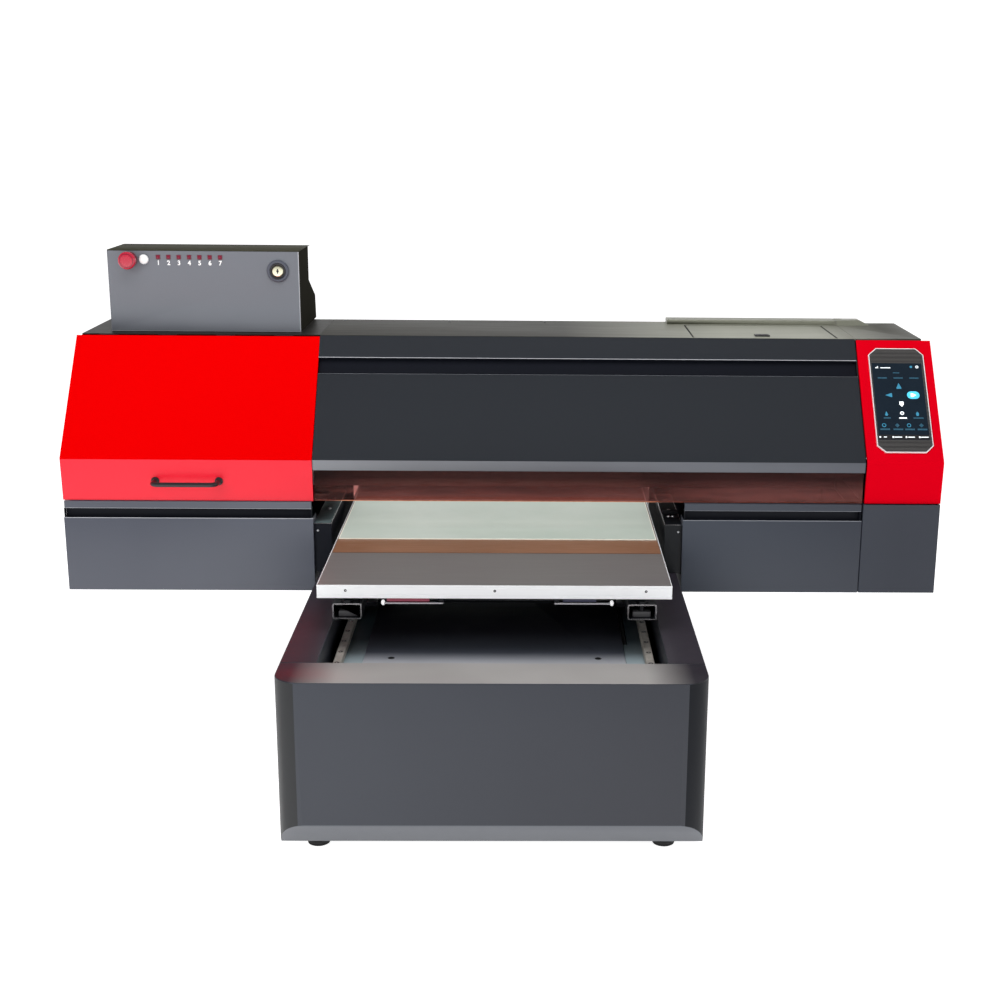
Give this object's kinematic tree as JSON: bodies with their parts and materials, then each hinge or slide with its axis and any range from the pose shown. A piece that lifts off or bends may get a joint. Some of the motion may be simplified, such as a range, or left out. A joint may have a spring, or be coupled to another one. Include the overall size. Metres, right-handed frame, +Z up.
{
  "type": "flatbed uv printer",
  "caption": "Flatbed UV printer: a sliding print bed on a long base under a fixed gantry with two housings, a lifting front lid, touch screen and ink box.",
  "frame": {"origin": "middle of the whole machine's footprint, on the floor", "axes": "+X along the gantry to the operator's right, +Y from the operator to the back, +Z up"},
  "size_m": [1.84, 1.6644, 0.995],
  "materials": {
    "grey_coat": "satin powder coat, slate grey",
    "top_coat": "satin powder coat, warm grey",
    "dark_coat": "matt black coat",
    "red_coat": "satin powder coat, red",
    "steel": "ground steel",
    "aluminium": "satin aluminium",
    "black_plastic": "moulded black",
    "rubber": "matt black rubber",
    "smoked_acrylic": "tinted, polished",
    "pale_sheet": "pale grey-green mat",
    "white_plastic": "moulded white",
    "red_plastic": "moulded red",
    "screen_glass": "dark display glass",
    "lock_metal": "plated lock barrel",
    "deck_coat": "satin dark grey coat"
  },
  "bodies": {
    "frame": {"base_front_cap": "grey_coat", "base_side_left": "grey_coat", "base_side_right": "grey_coat", "base_rear_cap": "grey_coat", "power_inlet": "black_plastic", "chassis_frame": "dark_coat", "deck_plate": "deck_coat", "foot_front_left": "rubber", "foot_front_right": "rubber", "foot_rear_left": "rubber", "foot_rear_right": "rubber", "rail_left": "steel", "rail_right": "steel", "y_belt": "rubber", "y_motor": "black_plastic", "gantry_leg_left": "dark_coat", "gantry_leg_right": "dark_coat", "gantry_beam": "steel", "x_belt": "rubber", "x_motor": "black_plastic", "left_wing_tray": "grey_coat", "left_waist_band": "grey_coat", "right_wing_tray": "grey_coat", "right_waist_band": "grey_coat", "right_end_tray": "grey_coat", "left_housing": "top_coat", "top_cover": "top_coat", "rear_cover": "dark_coat", "right_fascia": "red_coat", "right_housing": "top_coat", "touch_screen": "screen_glass", "ink_box_body": "grey_coat", "ink_tank_bank": "white_plastic", "level_lights": "black_plastic"},
    "saddle": {"bed_saddle": "steel"},
    "bed": {"bed_plate": "aluminium", "bed_sheet": "pale_sheet", "bed_tube_left": "dark_coat", "bed_tube_right": "dark_coat"},
    "valve_left": {"vacuum_lever_left": "steel"},
    "valve_right": {"vacuum_lever_right": "steel"},
    "y_idler": {"y_idler_pulley": "steel"},
    "y_drive": {"y_motor_pulley": "steel"},
    "carriage": {"carriage_body": "black_plastic", "uv_lamp_left": "aluminium", "uv_lamp_right": "aluminium"},
    "x_idler": {"x_idler_pulley": "steel"},
    "x_drive": {"x_motor_pulley": "steel"},
    "cap": {"cap_tray": "black_plastic"},
    "flap": {"left_flap": "red_coat", "flap_handle": "black_plastic"},
    "lid": {"front_lid": "grey_coat", "lid_shield": "smoked_acrylic"},
    "hatch": {"hatch_lid": "top_coat"},
    "latch": {"hatch_latch": "black_plastic"},
    "ink_lid": {"ink_box_lid": "grey_coat"},
    "stop": {"stop_button": "red_plastic"},
    "start": {"start_button": "white_plastic"},
    "lock": {"lock_core": "lock_metal"},
    "switch": {"power_switch": "black_plastic"}
  },
  "joints": [
    {"name": "bed_slide", "type": "slide", "parent": "frame", "child": "saddle", "axis": [0, 1, 0], "range_m": [-0.375, 0.505]},
    {"name": "bed_lift", "type": "slide", "parent": "saddle", "child": "bed", "axis": [0, 0, 1], "range_m": [-0.022, 0.01]},
    {"name": "valve_left_turn", "type": "hinge", "parent": "bed", "child": "valve_left", "pos_m": [-0.113, -0.54725, 0.4], "axis": [0, 0, 1], "range_deg": [0, 80]},
    {"name": "valve_right_turn", "type": "hinge", "parent": "bed", "child": "valve_right", "pos_m": [0.104, -0.54725, 0.4], "axis": [0, 0, -1], "range_deg": [0, 80]},
    {"name": "y_idler_spin", "type": "hinge", "parent": "frame", "child": "y_idler", "pos_m": [0.24, -0.69725, 0.272], "axis": [-1, 0, 0], "range_deg": [-1720, 2300]},
    {"name": "y_drive_spin", "type": "hinge", "parent": "frame", "child": "y_drive", "pos_m": [0.24, 0.69275, 0.272], "axis": [-1, 0, 0], "range_deg": [-1720, 2300]},
    {"name": "carriage_slide", "type": "slide", "parent": "frame", "child": "carriage", "axis": [1, 0, 0], "range_m": [0, 1.2]},
    {"name": "x_idler_spin", "type": "hinge", "parent": "frame", "child": "x_idler", "pos_m": [0.726, 0.09125, 0.616], "axis": [0, -1, 0], "range_deg": [-10, 4700]},
    {"name": "x_drive_spin", "type": "hinge", "parent": "frame", "child": "x_drive", "pos_m": [-0.812, 0.09125, 0.616], "axis": [0, -1, 0], "range_deg": [-10, 4700]},
    {"name": "cap_lift", "type": "slide", "parent": "frame", "child": "cap", "axis": [0, 0, 1], "range_m": [-0.015, 0]},
    {"name": "flap_open", "type": "hinge", "parent": "frame", "child": "flap", "pos_m": [-0.6597, 0.00895, 0.818], "axis": [-1, 0, 0], "range_deg": [0, 70]},
    {"name": "lid_open", "type": "hinge", "parent": "frame", "child": "lid", "pos_m": [0.178, -0.04496, 0.73891], "axis": [-1, 0, 0], "range_deg": [0, 75]},
    {"name": "hatch_open", "type": "hinge", "parent": "frame", "child": "hatch", "pos_m": [0.563, 0.20775, 0.8197], "axis": [-1, 0, 0], "range_deg": [0, 85]},
    {"name": "latch_slide", "type": "slide", "parent": "hatch", "child": "latch", "axis": [0, 1, 0], "range_m": [0, 0.006]},
    {"name": "ink_lid_open", "type": "hinge", "parent": "frame", "child": "ink_lid", "pos_m": [-0.6505, 0.19575, 0.995], "axis": [-1, 0, 0], "range_deg": [0, 100]},
    {"name": "stop_press", "type": "slide", "parent": "frame", "child": "stop", "axis": [0, 1, 0], "range_m": [0, 0.004], "stiffness_N_per_m": 1500},
    {"name": "start_press", "type": "slide", "parent": "frame", "child": "start", "axis": [0, 1, 0], "range_m": [0, 0.002], "stiffness_N_per_m": 800},
    {"name": "lock_turn", "type": "hinge", "parent": "frame", "child": "lock", "pos_m": [-0.4908, 0.04775, 0.9516], "axis": [0, 1, 0], "range_deg": [0, 90]},
    {"name": "switch_rock", "type": "hinge", "parent": "frame", "child": "switch", "pos_m": [-0.212, 0.82375, 0.11], "axis": [-1, 0, 0], "range_deg": [0, 14]}
  ],
  "couplings": [
    {"joint": "y_idler_spin", "follows": "bed_slide", "rad_per_m": 78.431},
    {"joint": "y_drive_spin", "follows": "bed_slide", "rad_per_m": 78.431},
    {"joint": "x_idler_spin", "follows": "carriage_slide", "rad_per_m": 67.797},
    {"joint": "x_drive_spin", "follows": "carriage_slide", "rad_per_m": 67.797}
  ]
}
